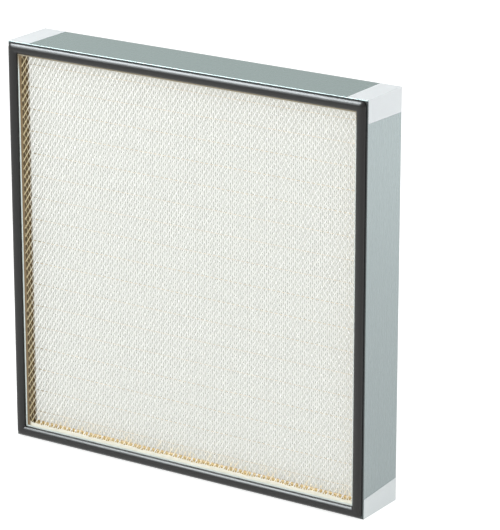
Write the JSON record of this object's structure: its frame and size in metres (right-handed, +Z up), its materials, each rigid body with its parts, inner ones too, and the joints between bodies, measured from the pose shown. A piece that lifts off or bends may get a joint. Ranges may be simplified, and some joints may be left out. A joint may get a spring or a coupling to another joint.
{
  "type": "hepa filter panel",
  "caption": "Square cleanroom filter panel: aluminium frame with mitred, taped corners, endless gasket, pleated pack between expanded metal guards.",
  "frame": {"origin": "under the middle of the whole panel, on the ground that its bottom edge stands on", "axes": "+X along the width, +Y through the depth away from the gasket face, +Z up"},
  "size_m": [0.6104, 0.097, 0.6105],
  "materials": {
    "frame": "anodised, satin",
    "gasket": "smooth foam skin",
    "guard": "white powder coat",
    "media": "matte glass fibre paper",
    "bead": "hot-melt",
    "resin": "cast resin",
    "tape": "adhesive tape",
    "key": "die-cast"
  },
  "bodies": {
    "root": {"frame_top": "frame", "frame_bottom": "frame", "frame_left": "frame", "frame_right": "frame", "key_front_top_left": "key", "key_front_top_right": "key", "key_front_bottom_left": "key", "key_front_bottom_right": "key", "key_rear_top_left": "key", "key_rear_top_right": "key", "key_rear_bottom_left": "key", "key_rear_bottom_right": "key", "tape_top_left": "tape", "tape_top_right": "tape", "tape_bottom_left": "tape", "tape_bottom_right": "tape", "gasket": "gasket", "potting_top": "resin", "potting_bottom": "resin", "potting_left": "resin", "potting_right": "resin", "media_pack": "media", "separators_front": "bead", "separators_rear": "bead", "guard_front": "guard", "guard_rear": "guard"}
  },
  "joints": []
}
